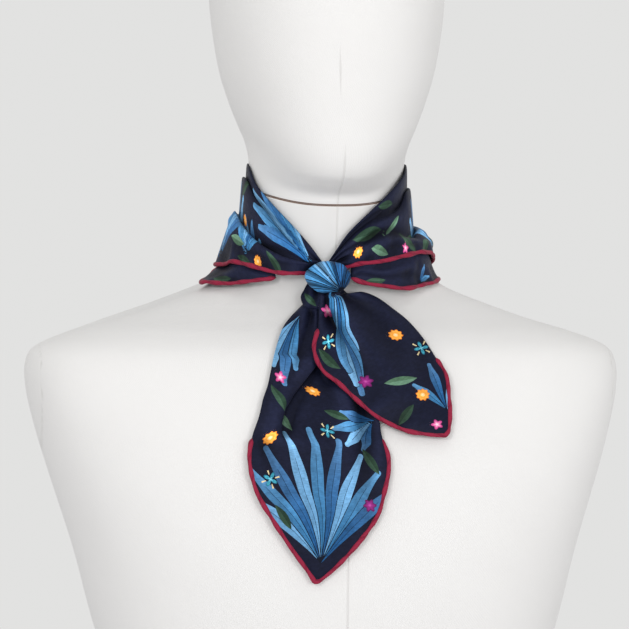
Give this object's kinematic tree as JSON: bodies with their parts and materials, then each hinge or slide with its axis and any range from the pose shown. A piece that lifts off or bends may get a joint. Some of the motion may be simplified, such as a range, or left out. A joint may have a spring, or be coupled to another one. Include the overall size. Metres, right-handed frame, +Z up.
{
  "type": "silk square scarf on a dress form",
  "caption": "Silk square folded to a triangle, wound in pleats round the neck and tied in a half knot, on a smooth headed dress form that stands on its flat base.",
  "frame": {"origin": "on the flat base of the dress form, under the axis of its neck", "axes": "+Z up the neck, -Y the way the form faces, +X towards the form's left shoulder"},
  "size_m": [0.398, 0.2213, 0.706],
  "materials": {
    "form_cover": "matt white jersey stretched over the form",
    "printed_silk": "navy silk twill with a flower and leaf print",
    "blue_print_silk": "silk twill where the print is light blue",
    "rolled_hem": "burgundy silk rolled and whipped by hand"
  },
  "bodies": {
    "root": {"form_torso": "form_cover", "form_head": "form_cover", "wrap_outer_leaf": "printed_silk", "wrap_under_leaf": "printed_silk", "hem_outer_leaf": "rolled_hem", "hem_under_leaf": "rolled_hem", "knot_band": "blue_print_silk", "knot_loop": "printed_silk", "tail_short": "printed_silk", "hem_tail_short": "rolled_hem", "tail_long": "printed_silk", "hem_tail_long": "rolled_hem"}
  },
  "joints": []
}
